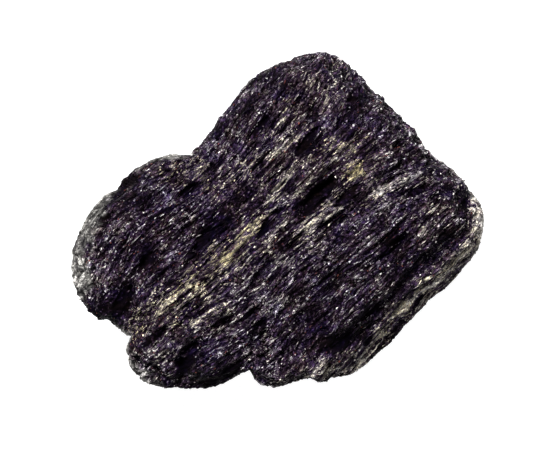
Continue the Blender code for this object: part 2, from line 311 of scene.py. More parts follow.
def carve(points, outward):
    """Lumps, ledges, flutes and pits, and the relief of the broad face."""
    lumps = smooth_noise(points / 12.0 + 5.7, 11)
    knobs = smooth_noise(points / 5.5 + 2.9, 12)
    coarse = flutes(points, 17.0, 4.0, 21)
    fine = flutes(points, 9.0, 2.2, 22)
    ledges = np.round(smooth_noise(fibre_frame(points) / [16.0, 6.0, 6.0], 31) * 2.5) / 2.5
    upward = np.clip(outward[:, 2], 0.0, 1.0)
    rim = np.exp(-(points[:, 2] / 4.5) ** 2) * (1.0 - np.abs(outward[:, 2]))

    push = 1.1 * lumps * (1.0 - 0.5 * upward) + 0.55 * knobs
    push += 1.5 * coarse + 0.5 * fine - 1.3 + 0.6 * ledges
    push *= 1.0 - 0.6 * rim

    rough = 1.0 - 0.45 * hollow_mask(points[:, 0], points[:, 1]) * upward
    rough *= 1.0 - 0.6 * np.clip(-outward[:, 2] * 2.0, 0.0, 1.0)
    bundles = combed(flutes, points, *BUNDLES)
    threads = combed(flutes, points, *THREADS)
    pits = smooth_noise(points / 0.55, 43)
    hairs = combed(flutes, points, *STRANDS)
    push += rough * (1.10 * bundles + 0.60 * threads + 0.25 * hairs + 0.12 * pits - 1.05)
    moved = points + outward * push[:, None]
    moved[:, 2] += face_relief(points) * upward ** 1.5
    return moved


def true_up(points):
    """Bring the carved lump's widest reach back to OUTLINE at every bearing."""
    bearing = np.degrees(np.arctan2(points[:, 1], points[:, 0])) % 360.0
    radius = np.hypot(points[:, 0], points[:, 1])
    reach = np.zeros(360)
    np.maximum.at(reach, bearing.astype(int), radius)
    middles = np.arange(360) + 0.5
    reach = np.interp(bearing, middles, reach, period=360.0)
    change = outline_radius(np.radians(bearing), 0) / reach - 1.0
    points[:, :2] *= 1.0 + (change * (radius / reach) ** 3)[:, None]
    return points


def crowd_upward(unit):
    """Move points of a unit sphere so that the broad face gets most of them."""
    fall = np.degrees(np.arccos(np.clip(unit[:, 2], -1.0, 1.0)))
    fall = np.radians(np.interp(fall, [0.0, 101.5, 143.0, 180.0], [0.0, 46.0, 135.0, 180.0]))
    ring = np.hypot(unit[:, 0], unit[:, 1]) + 1e-12
    return np.column_stack([
        unit[:, 0] / ring * np.sin(fall), unit[:, 1] / ring * np.sin(fall), np.cos(fall)])


def new_object(name, data):
    ob = bpy.data.objects.new(name, data)
    bpy.context.scene.collection.objects.link(ob)
    return ob


def add_map(mesh, corners):
    """A UV map for baking: corners holds one place on the unit square for each face corner."""
    layer = mesh.uv_layers.new(name="OFBake", do_init=False)
    layer.uv.foreach_set("vector", corners.astype(np.float32).ravel())


def open_flat(mesh):
    """Map the lump by opening the sphere it grew from onto a square, as an octahedron opens."""
    way = np.empty(len(mesh.vertices) * 3)
    mesh.attributes["way"].data.foreach_get("vector", way)
    way = way.reshape(-1, 3)
    way /= np.abs(way).sum(axis=1)[:, None]
    vertex = np.empty(len(mesh.loops), dtype=np.int32)
    mesh.loops.foreach_get("vertex_index", vertex)
    middle = way[vertex].reshape(-1, 3, 3).mean(axis=1)
    side = np.repeat(np.where(middle[:, :2] < 0, -1.0, 1.0), 3, axis=0)
    at = way[vertex]
    under = (1.0 - at[:, 1::-1] * side[:, ::-1]) * side
    flat = np.where(at[:, 2:] < 0, under, at[:, :2])
    add_map(mesh, np.clip(0.5 + 0.499 * flat, 0.0, 1.0))
    mesh.attributes.remove(mesh.attributes["way"])


def make_stone():
    """The finely carved lump, and the shift in mm from the form's own frame to the part's."""
    work = bmesh.new()
    bmesh.ops.create_icosphere(work, subdivisions=SPHERE_DETAIL, radius=1.0)
    mesh = bpy.data.meshes.new("stone_surface")
    work.to_mesh(mesh)
    work.free()
    sphere = np.empty(len(mesh.vertices) * 3)
    mesh.vertices.foreach_get("co", sphere)
    mesh.attributes.new("way", "FLOAT_VECTOR", "POINT").data.foreach_set("vector", sphere)
    unit = crowd_upward(sphere.reshape(-1, 3))
    points, outward = blank(unit)
    points = true_up(carve(flatten(points), outward))
    points[:, 2] = np.maximum(points[:, 2], -BASE_CUT)
    low, high = points.min(axis=0), points.max(axis=0)
    shift = np.array([-(low[0] + high[0]) / 2, -(low[1] + high[1]) / 2, -low[2]])
    mesh.vertices.foreach_set("co", ((points + shift) * MM).ravel())
    mesh.update()
    stone = new_object("stone_surface", mesh)
    thin = stone.modifiers.new("thin", "DECIMATE")
    thin.ratio = FACE_TRIANGLES / len(mesh.polygons)
    graph = bpy.context.evaluated_depsgraph_get()
    thinned = bpy.data.meshes.new_from_object(stone.evaluated_get(graph))
    stone.modifiers.clear()
    stone.data = thinned
    thinned.name = "stone_surface"
    open_flat(thinned)
    return stone, shift


# ------------------------------------------------- where the stone is pale, dark or worn
# Pale mineral along the fibres:
# (x, y, half length, half width, direction deg, strength, yellowness).
# These zones and the dark ones were placed on enlarged and blurred views of the photo.
PALE = [
    (-7.0, -4.6, 6.0, 1.1, 50, 1.4, 1.0), (-11.4, -6.9, 2.4, 1.4, 45, 0.7, 0.9),
    (-9.6, -10.0, 3.2, 1.4, 45, 0.6, 0.6), (-13.6, -11.6, 3.2, 0.9, 42, 0.5, 0.7),
    (-17.6, -12.6, 4.6, 0.9, 40, 0.8, 0.9), (-20.6, -15.5, 3.8, 1.7, 35, 0.8, 0.6),
    (-17.6, -16.6, 3.6, 1.2, 40, 0.6, 0.6), (-11.8, -16.4, 3.3, 0.9, 25, 0.8, 0.7),
    (0.8, 6.1, 3.4, 0.9, 55, 1.9, 0.5), (8.4, 2.2, 6.0, 0.8, 43, 1.5, 0.6),
    (4.6, -2.4, 3.0, 1.0, 38, 0.6, 0.6), (10.6, 1.2, 2.8, 0.8, 40, 1.0, 0.5),
    (21.5, 14.7, 1.6, 1.0, 45, 0.6, 0.2),
    (12.9, 13.3, 2.5, 1.1, -12, 1.1, 0.8), (13.7, 8.5, 1.5, 1.0, 30, 1.5, 1.2),
    (18.4, 4.8, 3.6, 1.0, 30, 0.8, 0.4), (24.8, 6.4, 3.2, 1.2, 25, 1.1, 0.2),
    (15.1, 5.6, 2.0, 1.0, 30, 0.6, 0.5), (18.8, 5.4, 7.0, 0.35, 25, 1.4, 0.2),
    (0.2, 17.2, 3.4, 1.0, 55, 1.3, 0.5), (-0.8, 12.9, 2.2, 1.0, 45, 0.4, 0.2),
    (7.2, 24.2, 3.4, 1.6, 30, 0.5, 0.4), (9.4, 21.2, 1.4, 1.4, 0, 0.5, 0.4),
    (4.1, 14.4, 1.4, 1.2, 60, 0.5, 0.5), (7.8, 11.6, 1.5, 1.1, 40, 0.5, 0.8),
    (-0.8, -9.0, 3.2, 1.0, 45, 1.5, 0.2), (-5.0, -12.4, 4.2, 2.2, 42, 0.4, 0.1),
    (1.4, -13.6, 3.3, 1.1, 40, 0.35, 0.1), (27.9, 1.0, 3.7, 0.9, 52, 0.5, 0.2),
    (-6.6, 7.4, 3.0, 1.3, 38, 0.8, 0.6), (-22.4, -23.7, 4.4, 1.5, 65, 0.5, 0.1),
    (-26.0, -20.4, 1.8, 1.0, 30, 0.9, 1.0), (-18.4, -21.8, 3.6, 1.0, 45, 0.9, 0.3),
    (-13.5, -17.2, 2.6, 0.8, 42, 1.1, 0.5),
    (-13.4, 6.6, 2.0, 0.8, 45, 0.3, 0.9), (-17.6, 9.4, 3.4, 1.5, -8, 0.55, 0.7),
    (-34.0, -12.6, 2.4, 1.0, 45, 0.3, 0.1), (-32.4, -0.6, 1.6, 1.0, 60, 0.2, 0.1),
    # The zones on the right and lower-right rim, from (36.4, 0.6) to (27.2, -13.2), are pale mineral
    # with painted light added, brightening a flank that faces away from the key lamp.
    (-22.4, -3.8, 1.6, 1.0, 45, 0.4, 0.0), (36.4, 0.6, 6.2, 1.5, 95, 2.0, 0.5),
    (34.2, -5.2, 4.4, 1.2, 52, 1.3, 0.5), (29.6, -10.1, 6.0, 1.2, 44, 1.5, 0.5),
    (24.6, -14.6, 5.4, 1.2, 46, 1.6, 0.5), (19.8, -19.8, 5.0, 1.1, 50, 1.7, 0.6),
    (15.6, -24.4, 4.6, 1.8, 45, 2.0, 0.4), (8.4, -27.4, 3.8, 1.4, 5, 1.8, 0.4),
    (26.6, -16.8, 3.6, 0.9, 46, 1.1, 0.5), (27.2, -13.2, 2.6, 1.0, 46, 1.4, 0.4),
    (2.0, 1.2, 9.0, 4.5, 45, 0.3, 0.3), (-1.6, 10.2, 3.0, 1.0, 50, 0.3, 0.4),
    (0.6, -1.8, 3.6, 1.2, 52, 0.6, 0.4), (-5.2, -7.0, 3.0, 1.2, 45, 0.5, 0.5),
    (-17.2, -24.6, 3.8, 0.4, 60, 2.0, 0.1), (-1.4, -29.6, 2.0, 1.0, -10, 0.9, 0.2),
    (-20.2, 0.0, 3.0, 1.0, 42, 0.3, 0.1),
    (-36.2, -8.2, 4.0, 1.6, 95, 1.0, 0.1),
    (-35.2, -13.0, 2.2, 0.8, 125, 0.5, 0.1), (-27.0, -24.0, 2.6, 0.9, 95, 0.3, 0.1),
    (-23.4, -28.6, 3.0, 0.8, -25, 0.3, 0.1),
]
# Dark clean amphibole: (x, y, half length, half width, direction deg, strength). The zones that lie
# on the cleavage hollows also paint shade into them.
DARK = [
    (-23.3, -6.3, 4.8, 3.6, 40, 0.5), (-27.9, -14.5, 4.0, 2.4, 60, 1.0),
    (-16.0, -25.5, 5.0, 2.4, 57, 1.0), (-9.6, -27.7, 4.6, 1.8, 12, 0.9),
    (-11.4, -1.4, 6.2, 1.8, 54, 0.9), (7.0, 3.9, 5.0, 1.7, 45, 1.3),
    (12.6, 3.9, 3.2, 1.2, 36, 1.3), (11.4, -22.8, 5.6, 3.2, 5, 0.6),
    (5.0, -20.0, 4.6, 2.6, 20, 0.5), (10.8, -7.8, 3.6, 2.4, 45, 0.5),
    (21.5, -5.0, 3.6, 1.8, 35, 0.7), (22.4, -9.0, 5.5, 2.2, 40, 0.5),
    (33.8, 2.4, 1.6, 1.6, 0, 0.8), (-2.8, 15.6, 4.6, 1.4, 50, 0.6),
    (5.9, 18.4, 1.8, 3.3, 0, 0.5), (5.6, 13.3, 3.2, 1.3, 47, 0.8),
    (14.2, 21.1, 2.8, 1.5, 60, 0.7), (-16.0, 4.7, 3.0, 1.4, 40, 0.6),
    (31.6, -0.8, 2.8, 3.6, 40, 0.3), (-1.6, -0.6, 3.4, 1.0, 56, 0.8),
    (-32.0, -16.0, 1.8, 1.4, 45, 0.7), (16.4, -16.2, 4.0, 1.6, 38, 0.5),
    (16.9, -22.4, 1.8, 1.2, 45, 0.6), (-22.0, -21.2, 3.4, 0.8, 40, 0.6),
    (24.6, 5.4, 2.4, 0.8, 27, 0.6), (-28.0, 2.5, 4.0, 2.4, 45, 0.5),
    (-1.8, 25.4, 6.0, 1.4, 42, 0.3), (13.6, 25.0, 3.4, 1.6, -45, 0.4),
    (-6.4, 18.6, 4.6, 1.6, 50, 0.6), (-28.8, 5.4, 6.0, 1.3, 45, 0.8),
    (-23.0, 4.4, 5.0, 2.6, 40, 0.4), (-9.8, 9.6, 3.4, 2.0, 45, 0.4),
    (-1.6, 5.0, 2.8, 0.7, 52, 0.7),
    (20.4, 1.6, 3.0, 1.0, 32, 0.5), (0.4, -3.6, 1.8, 1.0, 45, 0.7),
    (0.2, 0.8, 1.6, 1.2, 45, 0.5), (-4.0, -17.6, 3.0, 1.6, 60, 0.5),
    (12.0, -5.6, 3.4, 1.2, 40, 0.4), (29.6, 6.4, 2.6, 1.2, 30, 0.4),
    (-30.2, -18.6, 4.6, 1.3, -30, 1.2), (28.6, 9.0, 3.0, 1.6, -45, 0.4),
    (24.6, 12.0, 5.0, 1.6, -45, 0.3), (22.0, -2.6, 6.0, 2.0, 40, 0.4),
    (8.5, -13.0, 6.0, 3.0, 42, 0.3),
    (0.4, -29.2, 3.4, 1.0, -10, 0.5), (28.0, -16.4, 6.0, 0.8, 45, 0.6),
    (13.4, 19.4, 2.4, 2.0, 50, 0.6), (12.4, -1.6, 3.2, 1.0, 45, 0.3), (-31.8, 4.0, 5.0, 1.6, 50, 0.6),
    (-12.8, 16.4, 3.2, 1.2, 55, 0.7), (-22.4, -2.0, 5.0, 3.0, 42, 0.3), (1.6, 3.0, 2.2, 0.9, 50, 0.5),
]


# How much darker or lighter the last two millimetres of the face are: (bearing deg, share). A share
# above nought is painted shade on the rim, and a share below nought makes the rim lighter with
# painted light. Set to follow the photo's rim brightness, which was measured in 12-degree sectors.
RIM_PAINTED_SHADE_AND_LIGHT = [
    (0, -1.0), (14, -0.6), (32, -1.0), (53, 0.1), (78, -0.8), (101, 0.8), (119, -0.9), (136, 0.6),
    (158, 0.0), (200, 0.4), (205, 1.2), (218, -0.3), (240, 0.4), (252, 1.2), (265, -0.9),
    (288, 0.4), (300, -1.0), (312, 1.2), (324, 0.0), (350, -1.0),
]
# Width of the rubbed grey rim, seen from above: (bearing deg, mm). Below nought there is little
# of it or none.
RIM_WIDTH = [
    (0, 0.6), (10, 0.2), (16, -0.8), (24, -1.0), (60, -1.0), (75, -0.4), (95, 0.0),
    (110, -0.8), (126, -0.8), (131, -0.8), (140, -0.6), (146, 0.7), (151, 1.2), (156, 0.4),
    (161, -0.4), (167, 0.0), (175, 2.0), (182, 3.4), (200, 3.4), (203, -0.4), (209, -1.2),
    (214, 1.4), (222, 1.4), (230, 1.4), (240, -0.8), (258, -1.6), (268, 0.0), (285, -0.6),
    (300, -2.0), (330, -2.0), (345, -1.0), (354, 0.4),
]
RIM_DEPTH = 1.8          # how far in the shade of the rim reaches, mm
ZONE_FALL = 0.9          # how sharply a zone of PALE or DARK ends


def zone_falloff(x, y, zone):
    """1 in the middle of an elliptical zone, falling to 0 past its edge."""
    distance, _ = in_ellipse(x, y, zone)
    return np.exp(-ZONE_FALL * distance ** 3)


def zone_sum(x, y, zones):
    total = np.zeros(len(x))
    for zone in zones:
        total += zone[AMOUNT] * zone_falloff(x, y, zone)
    return total


def frayed(points):
    """x and y slid along each thread, so that light and dark zones end in ragged streaks."""
    lay = np.radians(flow_degrees(points[:, 0], points[:, 1]))
    slide = FRAY_LENGTH * combed(fibre_noise, points, *FRAY)
    return points[:, 0] + slide * np.cos(lay), points[:, 1] + slide * np.sin(lay)


def pale_share(x, y):
    """0 on dark rock, up to 2 in the palest streaks and along the crests."""
    total = zone_sum(x, y, PALE)
    for crest in CRESTS:
        distance, _ = in_ellipse(x, y, crest)
        total += 0.6 * np.exp(-1.5 * distance ** 2)
    return np.clip(total, 0.0, 2.0)


def yellow_share(x, y):
    """How ochre the pale mineral is: 0 for white, about 1 for yellow."""
    weight = zone_sum(x, y, PALE) + 1e-4
    total = np.zeros(len(x))
    for zone in PALE:
        total += zone[AMOUNT] * zone[YELLOWNESS] * zone_falloff(x, y, zone)
    return total / weight


def dark_share(x, y):
    """Above 0 in dark zones, which include painted shade in the hollows, and where shade is painted
    on the rim; below 0 where light is painted on the rim.
    """
    bearing = np.arctan2(y, x)
    inset = outline_radius(bearing, 2) - np.hypot(x, y)
    # rim term: painted shade where the table is above nought, painted light where it is below
    rim = by_bearing(RIM_PAINTED_SHADE_AND_LIGHT, bearing) * np.clip(1.0 - inset / RIM_DEPTH, 0.0, 1.0)
    return np.clip(zone_sum(x, y, DARK) + rim, -1.0, 1.2)


def seen_share(rise):
    """1 where the surface faces up, 0 on the under side; rise is the normal's z."""
    return np.clip((rise + 0.05) / 0.30, 0.0, 1.0)


def crack_share(points):
    """1 along fine cracks, 0 between them."""
    wide = np.clip(1.0 - 7.0 * np.abs(smooth_noise(points / 2.6 + 0.4, 73)), 0.0, 1.0)
    thin = np.clip(1.0 - 5.0 * np.abs(smooth_noise(points / 1.2 + 0.8, 74)), 0.0, 1.0)
    return np.maximum(wide, 0.7 * thin)


def worn_share(points):
    """1 on the rubbed grey patches of the rim, 0 on fresh rock. Points in mm."""
    x, y, z = points.T
    bearing = np.arctan2(y, x)
    edge = outline_radius(bearing, 2) - np.hypot(x, y)
    width = by_bearing(RIM_WIDTH, bearing)
    patchy = smooth_noise(points / 3.2 + 1.7, 71) * 0.9 + smooth_noise(points / 1.1, 72) * 0.7
    share = np.clip((width - edge) / 1.2 + 0.3 + patchy, 0.0, 1.0)
    return share * np.clip((z + 6.0) / 4.0, 0.0, 1.0)


# ------------------------------------------------- materials and colours
def new_material(name):
    material = bpy.data.materials.new(name)
    material.use_nodes = True
    return material, material.node_tree, material.node_tree.nodes["Principled BSDF"]


def add_node(tree, kind, **values):
    """A new node; each value goes to the input or else the property of that name."""
    node = tree.nodes.new(kind)
    for key, value in values.items():
        if key in node.inputs:
            node.inputs[key].default_value = value
        else:
            setattr(node, key, value)
    return node


def rock_material(name, grain_scale, darkest, lightest, ior, gloss, gloss_tint):
    """Vertex colour broken up by a fine grain, which also dents the surface a little."""
    material, tree, shader = new_material(name)
    link = tree.links.new
    tint = add_node(tree, "ShaderNodeAttribute", attribute_name="tint")
    place = add_node(tree, "ShaderNodeTexCoord")
    grain = add_node(tree, "ShaderNodeTexNoise", Scale=grain_scale, Detail=2.0, Roughness=0.7)
    link(place.outputs["Object"], grain.inputs["Vector"])
    spread = add_node(tree, "ShaderNodeMapRange")
    spread.inputs["From Min"].default_value = 0.3
    spread.inputs["From Max"].default_value = 0.7
    spread.inputs["To Min"].default_value = darkest
    spread.inputs["To Max"].default_value = lightest
    link(grain.outputs["Fac"], spread.inputs["Value"])
    mix = add_node(tree, "ShaderNodeVectorMath", operation="MULTIPLY")
    link(tint.outputs["Color"], mix.inputs[0])
    link(spread.outputs["Result"], mix.inputs[1])
    link(mix.outputs[0], shader.inputs["Base Color"])
    dull = add_node(tree, "ShaderNodeAttribute", attribute_name="dull")
    link(dull.outputs["Fac"], shader.inputs["Roughness"])
    bump = add_node(tree, "ShaderNodeBump", Strength=0.35, Distance=0.0001)
    link(grain.outputs["Fac"], bump.inputs["Height"])
    link(bump.outputs["Normal"], shader.inputs["Normal"])
    shader.inputs["IOR"].default_value = ior
    shader.inputs["Specular IOR Level"].default_value = gloss
    shader.inputs["Specular Tint"].default_value = gloss_tint
    return material


def put_attributes(mesh, tint, dull):
    """Colour and roughness of each vertex, for rock_material."""
    colours = mesh.color_attributes.new("tint", "FLOAT_COLOR", "POINT")
    colours.data.foreach_set("color", np.column_stack([tint, np.ones(len(tint))]).ravel())
    rough = mesh.attributes.new("dull", "FLOAT", "POINT")
    rough.data.foreach_set("value", dull)


# Colours by lightness: a purplish black mineral, nearly grey where it is lighter, pale streaks.
DARK_HUE = np.array([1.50, 0.72, 1.90])
GREY_HUE = np.array([1.22, 0.90, 1.18])
CREAM_HUE = np.array([1.03, 0.982, 1.00])
YELLOW_HUE = np.array([1.14, 1.00, 0.64])
RUST = np.array([0.16, 0.05, 0.04])
WORN_TINT = np.array([0.066, 0.064, 0.060])
STONE_MIDDLE = 0.0018    # lightness of plain mineral on the surface and on the splinters
FIBRE_MIDDLE = 0.0049
DARKEST, LIGHTEST = 0.0003, 0.65
LEAST_CHANCE = -2.1      # chance at which mineral turns black
CHANCE_POWER = 4.2
# CREST_LIGHT paints light on the crests and shade in the grooves of the fibre bundles.
CREST_LIGHT = 0.75       # how strongly each thing lightens or darkens the mineral
BAND_LIGHT = 0.12
PALE_LIGHT = 1.7
DARK_SHADE = 2.1
# HOLLOW_SHADE paints shade onto the floors of the cleavage hollows.
HOLLOW_SHADE = 1.6
CRACK_SHADE = 2.2


def reflectance(chance, streaks, middle):
    """Lightness of mineral: middle where both are 0.

    chance is random, streaks follow the fibres.
    """
    scattered = (np.clip(chance - LEAST_CHANCE, 0.0, None) / -LEAST_CHANCE) ** CHANCE_POWER
    return np.clip(middle * scattered * np.exp(streaks), DARKEST, LIGHTEST)


def coloured(lightness, yellow, points, upward):
    """Colour of mineral by lightness; yellow is 0 for white streaks and 1 for ochre ones.

    Dark mineral drifts between blue and olive. Casts are weaker on the flanks, where
    upward is small.
    """
    grey = np.clip((lightness - 0.006) / 0.04, 0.0, 1.0)[:, None]
    pale = np.clip((lightness - 0.05) / 0.16, 0.0, 1.0)[:, None]
    warm = CREAM_HUE + (YELLOW_HUE - CREAM_HUE) * np.clip(yellow, 0.0, 1.6)[:, None]
    hue = DARK_HUE + (GREY_HUE - DARK_HUE) * grey
    hue = hue + (warm - hue) * pale
    drift = smooth_noise(points / 0.7 + 4.4, 85) + smooth_noise(points / 2.2, 86)
    drift *= 0.21 * np.clip(lightness / 0.016, 0.05, None) ** -0.35
    hue = hue * np.exp(drift[:, None] * [0.5, 0.5, -1.0])
    cast = 0.3 + 0.7 * np.clip(upward * 1.5, 0.0, 1.0)
    hue = 1.0 + (hue - 1.0) * cast[:, None]
    return lightness[:, None] * hue


def crest_light_and_groove_shade(points):
    """Painted shade in the grooves between fibre bundles, about -1.5, and painted light along their
    crests, about 1.2.
    """
    wide = (combed(flutes, points, *BUNDLES) - FLUTE_MEAN) / FLUTE_SPREAD
    thin = (combed(flutes, points, *THREADS) - FLUTE_MEAN) / FLUTE_SPREAD
    return 0.5 * wide + 0.6 * thin


def bands(points):
    """About -1 in dark bands and lenses, 1 in light ones, all drawn out along the fibres."""
    wide = combed(fibre_noise, points, *BAND_WIDE)
    thin = combed(fibre_noise, points, *BAND_THIN)
    return 1.6 * wide + 3.4 * thin


def strands(points):
    """About -1 to 1.5: lightness that runs along single threads of fibre."""
    return (combed(flutes, points, *STRANDS) - FLUTE_MEAN) / FLUTE_SPREAD


def light_streaks(points, pale, dark, strand_light):
    """How much lighter than plain mineral a place is, as the power of e; it includes the painted
    light on crests and the painted shade in grooves.
    """
    # the crest term is painted light on the crests and painted shade in the grooves
    return (CREST_LIGHT * crest_light_and_groove_shade(points) + (strand_light + 0.3 * pale) * strands(points)
            + BAND_LIGHT * bands(points) + PALE_LIGHT * pale - DARK_SHADE * dark)


def read_points(mesh):
    coords = np.empty(len(mesh.vertices) * 3)
    mesh.vertices.foreach_get("co", coords)
    return coords.reshape(-1, 3) / MM


def read_normals(mesh):
    normals = np.empty(len(mesh.vertices) * 3)
    mesh.vertices.foreach_get("normal", normals)
    return normals.reshape(-1, 3)


def colour_stone(mesh):
    """Colour the carved lump: mineral streaks, then worn grey patches over them."""
    points = read_points(mesh) - SHIFT
    worn = worn_share(points)
    hollow = hollow_mask(points[:, 0], points[:, 1])
    x, y = frayed(points)
    rise = read_normals(mesh)[:, 2]
    seen = seen_share(rise)
    pale, dark = pale_share(x, y) * seen, dark_share(x, y) * seen
    chance = 2.6 * smooth_noise(points / 0.3, 81)
    # the hollow term is painted shade on the floors of the cleavage hollows
    streaks = light_streaks(points, pale, dark, 1.2) - HOLLOW_SHADE * hollow
    lightness = reflectance(chance, streaks, STONE_MIDDLE)
    tint = coloured(lightness, yellow_share(x, y), points, rise)
    # the crest term in this mottle is painted light on crests and painted shade in grooves
    mottle = np.exp(1.2 * smooth_noise(points / 1.3, 82) + 1.3 * smooth_noise(points / 0.35, 83)
                    + 0.4 * crest_light_and_groove_shade(points) + 0.3 * strands(points) + 0.5 * pale
                    - CRACK_SHADE * crack_share(points))
    tint = tint + (WORN_TINT * mottle[:, None] - tint) * (worn * 0.9)[:, None]
    dull = 0.55 + 0.2 * worn + 0.4 * hollow
    put_attributes(mesh, tint, dull)


stone, SHIFT = make_stone()
colour_stone(stone.data)
stone.data.materials.append(rock_material(
    "hornblende_rock", 4800.0, 0.0, 4.0, 1.60, 0.02, (0.95, 0.80, 1.0, 1.0)))
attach(stone, "root")
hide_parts("hornblende_stone")


# ------------------------------------------------- fibres and small crystals
FIBRE_PIECES = 4
FIBRES_A_PIECE = 47000
GRAIN_SHARE = 0.22       # how many are short grains that lie any way
RUSTY_SHARE = 0.006
FIRST_SEED = 500
# A closed splinter with a ridge on top and pointed ends: along, across, up.
SLIVER = np.array([
    (-1.0, 0.0, 1.0), (1.0, 0.0, 1.0), (0.0, -1.0, 0.0), (0.0, 1.0, 0.0)])
SLIVER_FACES = np.array([(0, 2, 1), (0, 1, 3), (0, 3, 2), (1, 2, 3)])
CORNERS = len(SLIVER)


def scatter(mesh, count, rng):
    """Random places on the surface: position and normal, mm, in the lump's own frame."""
    mesh.calc_loop_triangles()
    corners = np.empty(len(mesh.loop_triangles) * 3, dtype=np.int32)
    mesh.loop_triangles.foreach_get("vertices", corners)
    corners = corners.reshape(-1, 3)
    points, normals = read_points(mesh) - SHIFT, read_normals(mesh)
    a, b, c = (points[corners[:, k]] for k in range(3))
    area = np.linalg.norm(np.cross(b - a, c - a), axis=1) / 2
    middle = (a + b + c) / 3
    tip = normals[corners].mean(axis=1)
    tip /= np.linalg.norm(tip, axis=1)[:, None]
    upward = np.clip(tip[:, 2] * 1.6 + 0.25, 0.0, 1.0)
    want = 0.42 + 0.58 * upward
    want *= np.where(middle[:, 2] < -BASE_CUT + 1.2, 0.0, 1.0)
    smooth = hollow_mask(middle[:, 0], middle[:, 1], 1.02) * (tip[:, 2] > 0)
    want *= 1.0 - 0.93 * smooth
    want *= 1.0 - 0.5 * worn_share(middle)
    chosen = rng.choice(len(area), size=count, p=area * want / (area * want).sum())
    mix = rng.random((count, 2))
    flip = mix.sum(axis=1) > 1.0
    mix[flip] = 1.0 - mix[flip]
    spot = a[chosen] + (b - a)[chosen] * mix[:, :1] + (c - a)[chosen] * mix[:, 1:]
    return spot, tip[chosen]


def cells_by_shade(tint):
    """A place on the unit square for each corner of each splinter.

    The square is a grid with one cell for each splinter, like shades side by side.
    """
    side = math.ceil(math.sqrt(len(tint)))
    rank = np.empty(len(tint), dtype=int)
    rank[np.argsort(tint.sum(axis=1), kind="stable")] = np.arange(len(tint))
    row, column = np.divmod(rank, side)
    column = np.where(row % 2, side - 1 - column, column)
    cell = np.column_stack([column, row])[:, None, :]
    places = cell + np.array([(0.1, 0.5), (0.9, 0.5), (0.5, 0.1), (0.5, 0.9)])[None]
    return places.reshape(-1, 2) / side


def lay_splinters(spot, normal, grain, combed_out, flat, rng):
    """Unit directions along, across and up for each splinter."""
    count = len(spot)
    sway = rng.normal(0.0, 14.0, count) * (1.0 - 0.45 * combed_out)
    lay = np.radians(flow_degrees(spot[:, 0], spot[:, 1]) + sway)
    lay = np.where(grain, rng.uniform(0.0, np.pi, count), lay)
    along = np.column_stack([np.cos(lay), np.sin(lay), rng.normal(0.0, 0.10, count)])
    along -= normal * (along * normal).sum(axis=1)[:, None]
    reach = np.linalg.norm(along, axis=1)
    stray = rng.normal(size=(count, 3))
    stray -= normal * (stray * normal).sum(axis=1)[:, None]
    stray /= np.linalg.norm(stray, axis=1)[:, None]
    along = along + stray * np.clip(0.75 - reach, 0.0, 1.0)[:, None] * 1.2
    along /= np.linalg.norm(along, axis=1)[:, None]
    up = normal + along * (rng.normal(0.0, 0.09, count) * (0.3 + 0.7 * flat))[:, None]
    across = np.cross(up, along)
    across /= np.linalg.norm(across, axis=1)[:, None]
    up = np.cross(along, across)
    roll = rng.normal(0.0, 0.45, count)[:, None]
    rolled = across * np.cos(roll) + up * np.sin(roll)
    return along, rolled, up * np.cos(roll) - across * np.sin(roll)


def size_splinters(spot, grain, combed_out, flat, rng):
    """Half the length and half the width of each splinter, mm."""
    count = len(spot)
    length = np.clip(rng.lognormal(math.log(0.32), 0.45, count), 0.12, 1.4)
    length = (1.0 + 0.9 * combed_out) * length
    length *= np.where(rng.random(count) < 0.08, 2.0, 1.0)
    length = np.minimum(length * (0.45 + 0.55 * flat), 0.3 + 1.6 * flat)
    width = np.clip(rng.lognormal(math.log(0.066), 0.4, count), 0.03, 0.2)
    width = (1.0 - 0.2 * combed_out) * width
    length = np.where(grain, rng.lognormal(math.log(0.14), 0.35, count), length)
    width = np.where(grain, length * rng.uniform(0.5, 1.0, count), width)
    x, y = spot[:, 0], spot[:, 1]
    inset = outline_radius(np.arctan2(y, x), 1) - np.hypot(x, y)
    length = np.minimum(length, 0.25 + 0.35 * np.clip(inset, 0.0, None))
    return length, width


def splinter_shapes(length, width, grain, lift, rng):
    """Corners of each splinter along, across and up from its place, mm."""
    count = len(length)
    height = width * np.where(grain, rng.uniform(0.4, 1.2, count), rng.uniform(0.12, 1.0, count))
    blades = SLIVER[None, :, :] * np.column_stack([length, width, height])[:, None, :]
    blades[:, :, 2] -= np.where(grain, 0.2, 0.45)[:, None] * height[:, None]
    blades[:, 2:, 0] += (rng.uniform(-0.6, 0.6, count) * length)[:, None]
    blades[:, 1, 2] -= rng.uniform(0.0, 0.6, count) * height
    blades[:, :, 2] += lift[:, None]
    return blades


def splinter_mesh(name, corners):
    """A mesh of closed splinters, four corners and four faces each, and its face corners."""
    piece = bpy.data.meshes.new(name)
    first = np.arange(len(corners) // CORNERS) * CORNERS
    faces = (SLIVER_FACES[None] + first[:, None, None]).reshape(-1, 3)
    piece.vertices.add(len(corners))
    piece.vertices.foreach_set("co", corners.ravel())
    piece.loops.add(faces.size)
    piece.loops.foreach_set("vertex_index", faces.ravel().astype(np.int32))
    piece.polygons.add(len(faces))
    piece.polygons.foreach_set("loop_start", np.arange(0, faces.size, 3, dtype=np.int32))
    piece.update(calc_edges=True)
    return piece, faces.ravel()


